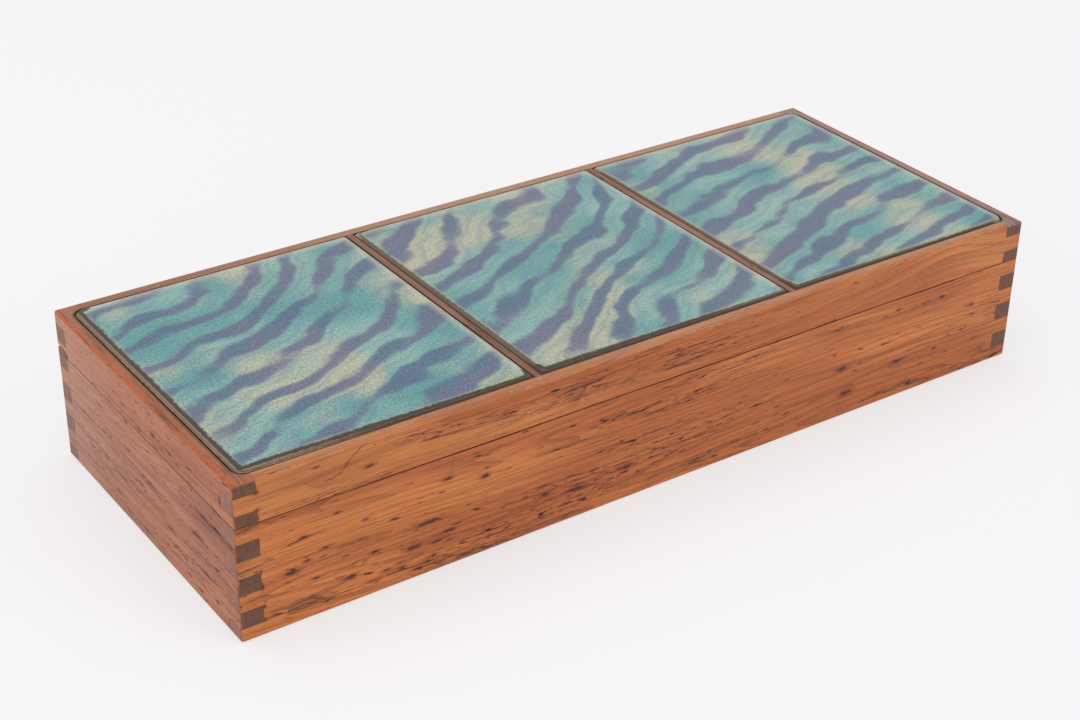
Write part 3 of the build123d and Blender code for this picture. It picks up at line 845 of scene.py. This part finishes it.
dress(wood("lid_long_wood", ALONG_X, 1, end_colour=GREY_END, shift=KERF, arches=(LID_ARCH,),
           spots=LID_FRONT_MARKS, crossed_by=LID_VEIN, rim=True, regions=LID_REGIONS, redder=0.0006,
           flecked=0.2, lined=0.32, **LID_TONES),
      "lid_front_wall", "lid_back_wall")
dress(wood("base_long_wood", ALONG_X, 2, end_colour=GREY_END, spots=BASE_FRONT_MARKS,
           regions=BASE_REGIONS, flecked=0.8, lined=0.6, banded=0.42, **BASE_TONES),
      "base_front_wall", "base_back_wall")
dress(wood("lid_end_wood", ALONG_Y, 3, end_colour=DARK_END, shift=KERF, spots=LID_LEFT_MARKS, rim=True,
           flecked=1.0, lined=0.4, pitted=1.0, seam=(0.10, 0.30), back_sheen=0.34, **LID_END_TONES),
      "lid_left_wall", "lid_right_wall")
dress(wood("base_end_wood", ALONG_Y, 4, end_colour=DARK_END, spots=BASE_LEFT_MARKS, flecked=1.0,
           lined=0.5, pitted=1.0, seam=(0.10, 0.30), back_sheen=0.34, **END_TONES),
      "base_left_wall", "base_right_wall")
dress(wood("divider_wood", ALONG_Y, 5, end_colour=DARK_END, flecked=0.2, **DIVIDER_TONES),
      "lid_divider_1", "lid_divider_2")
dress(wood("board_wood", ALONG_X, 6, end_colour=BOARD_END, flecked=0.2, lined=0.2, sheen=0.6,
           lightened_above=BOARD_TOP - 0.1, **BOARD_TONES),
      "lid_board", "base_bottom_board")

for tile, (seed, direction, grainy, burnt_left, burnt_shaded_front) in enumerate(TILE_LOOKS, start=1):
    coat, low, high = enamel_coat(tile, seed)
    coat.data.materials.append(enamel(tile, low, high, direction, grainy, burnt_left, burnt_shaded_front))

dress(copper(), "tile_1_copper", "tile_2_copper", "tile_3_copper")
dress(brass("hinge_brass", 1), "base_hinge_leaf_left", "base_hinge_leaf_right",
      "lid_hinge_leaf_left", "lid_hinge_leaf_right")
dress(brass("pin_brass", 2), "hinge_pin_left", "hinge_pin_right")
dress(brass("screw_brass", 3), "base_hinge_screws", "lid_hinge_screws")


# ---------------------------------------------------------------- stage, light and camera
FLOOR_SIZE = 9.0         # m
FLOOR_DROP = 0.02        # below the box's underside, mm
FLOOR_COLOUR = (0.90, 0.885, 0.89, 1.0)
FLOOR_GLOW = (1.0, 0.995, 1.0, 1.0)
GLOW_SHARE = 0.6         # of what the camera sees of the floor. The rest is its lit surface
BACKDROP = (0.92, 0.92, 0.925, 1.0)
SKY_WHITE, SKY_STRENGTH = (1.0, 1.0, 1.0, 1.0), 0.64


def seen_directly(tree):
    """1 for rays that show the surroundings, 0 for rays that light the box."""
    path = tree.nodes.new("ShaderNodeLightPath")
    total = path.outputs["Is Camera Ray"]
    for name in ("Is Glossy Ray", "Is Transmission Ray"):
        either = tree.nodes.new("ShaderNodeMath")
        either.operation = "MAXIMUM"
        tree.links.new(total, either.inputs[0])
        tree.links.new(path.outputs[name], either.inputs[1])
        total = either.outputs[0]
    return total


def make_floor():
    """Pale table. What the camera sees of it is part white glow, so the shadow on it is faint."""
    data = bpy.data.meshes.new("floor")
    half = FLOOR_SIZE / 2
    corners = [(-half, -half, 0), (half, -half, 0), (half, half, 0), (-half, half, 0)]
    data.from_pydata(corners, [], [(0, 1, 2, 3)])
    floor = bpy.data.objects.new("floor", data)
    floor.location.z = -FLOOR_DROP * MM
    bpy.context.collection.objects.link(floor)
    g = Graph("floor")
    g.set(Base_Color=FLOOR_COLOUR, Roughness=0.9, IOR=1.3)
    tree = g.tree
    glow = tree.nodes.new("ShaderNodeEmission")
    glow.inputs["Color"].default_value = FLOOR_GLOW
    mix = tree.nodes.new("ShaderNodeMixShader")
    tree.links.new(g.mul(seen_directly(tree), GLOW_SHARE), mix.inputs["Fac"])
    tree.links.new(g.shader.outputs["BSDF"], mix.inputs[1])
    tree.links.new(glow.outputs["Emission"], mix.inputs[2])
    tree.links.new(mix.outputs["Shader"], g.output.inputs["Surface"])
    data.materials.append(g.material)


def make_world():
    """White surroundings: one strength lights the box, the other is what the camera sees."""
    world = bpy.data.worlds.new("studio")
    bpy.context.scene.world = world
    world.use_nodes = True
    tree = world.node_tree
    tree.nodes.clear()
    lighting = tree.nodes.new("ShaderNodeBackground")
    lighting.inputs["Color"].default_value = SKY_WHITE
    lighting.inputs["Strength"].default_value = SKY_STRENGTH
    seen = tree.nodes.new("ShaderNodeBackground")
    seen.inputs["Color"].default_value = BACKDROP
    choose = tree.nodes.new("ShaderNodeMixShader")
    output = tree.nodes.new("ShaderNodeOutputWorld")
    tree.links.new(seen_directly(tree), choose.inputs["Fac"])
    tree.links.new(lighting.outputs[0], choose.inputs[1])
    tree.links.new(seen.outputs[0], choose.inputs[2])
    tree.links.new(choose.outputs[0], output.inputs["Surface"])


def soft_light(name, place, size, power):
    """Square softbox that faces the box."""
    data = bpy.data.lights.new(name, "AREA")
    data.shape, data.size, data.energy = "SQUARE", size, power
    lamp = bpy.data.objects.new(name, data)
    lamp.location = place
    lamp.rotation_euler = (-Vector(place)).to_track_quat("-Z", "Y").to_euler()
    bpy.context.collection.objects.link(lamp)


# Softboxes: name, place and width in m, power in W
LAMPS = (("key", (0.55, -1.25, 0.75), 0.9, 4.5), ("top", (-0.2, 0.3, 1.4), 1.2, 4.0),
         ("side", (-1.2, 0.1, 0.55), 0.9, 3.0))
CAMERA_PLACE = (-333.12, -461.58, 340.61)    # mm
CAMERA_TURN = (60.251, -0.892, -34.655)      # degrees about X, Y and Z
LENS, SENSOR = 67.376, 36.0                  # mm
CLIP = (0.01, 50.0)                          # m


def make_camera():
    """Camera at the photographer's place."""
    data = bpy.data.cameras.new("camera")
    data.lens, data.sensor_width = LENS, SENSOR
    data.clip_start, data.clip_end = CLIP
    camera = bpy.data.objects.new("camera", data)
    camera.location = Vector(CAMERA_PLACE) * MM
    camera.rotation_euler = Euler([math.radians(turn) for turn in CAMERA_TURN], "XYZ")
    bpy.context.collection.objects.link(camera)
    bpy.context.scene.camera = camera


make_floor()
make_world()
for lamp in LAMPS:
    soft_light(*lamp)
make_camera()
bpy.context.scene.view_settings.view_transform = "Standard"
